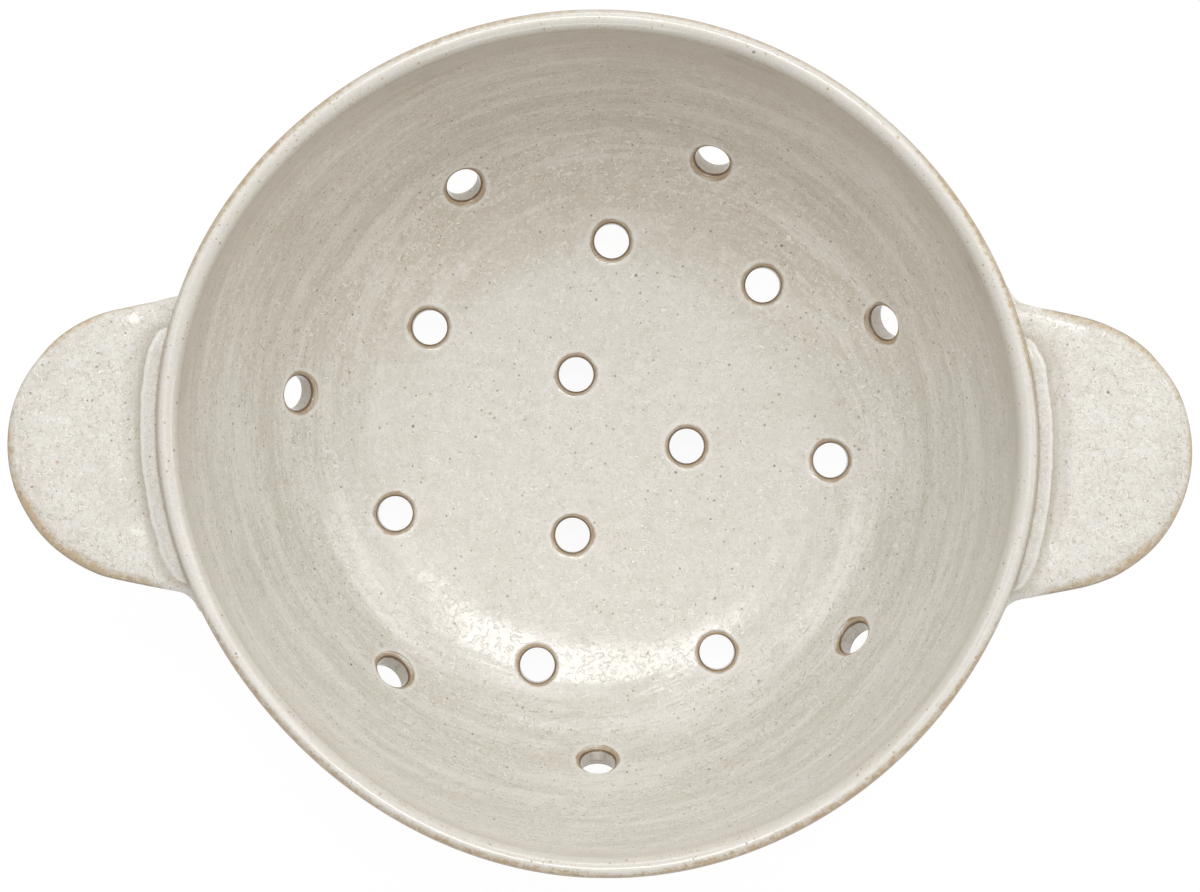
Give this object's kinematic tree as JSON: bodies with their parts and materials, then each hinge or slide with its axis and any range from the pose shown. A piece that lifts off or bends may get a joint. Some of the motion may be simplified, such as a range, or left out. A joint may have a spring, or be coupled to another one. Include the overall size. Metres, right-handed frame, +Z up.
{
  "type": "berry colander bowl",
  "caption": "Round stoneware bowl with drain holes through its floor and lower wall, a rolled lip, a foot ring and a flat lug handle on each side, for rinsing and draining berries.",
  "frame": {"origin": "on the table at the bowl's axis, in the plane that the foot ring stands on", "axes": "+X along the two handles to the right one, +Z up through the bowl's mouth"},
  "size_m": [0.226, 0.1648, 0.072],
  "materials": {
    "speckled_glaze": "off-white semi-gloss stoneware glaze with fine grey-brown specks, breaking tan at the edges",
    "thin_glaze": "the same glaze where it lies thin over a seam, a shade darker and warmer",
    "bare_stoneware": "matte tan stoneware, bare where the foot stands",
    "clay_slip": "matte fired slip between the pieces"
  },
  "bodies": {
    "root": {"bowl_body": "speckled_glaze", "foot_ring": "bare_stoneware", "foot_slip_joint": "clay_slip", "left_handle": "speckled_glaze", "left_slip_joint": "clay_slip", "left_seam_coil": "thin_glaze", "right_handle": "speckled_glaze", "right_slip_joint": "clay_slip", "right_seam_coil": "thin_glaze"}
  },
  "joints": []
}
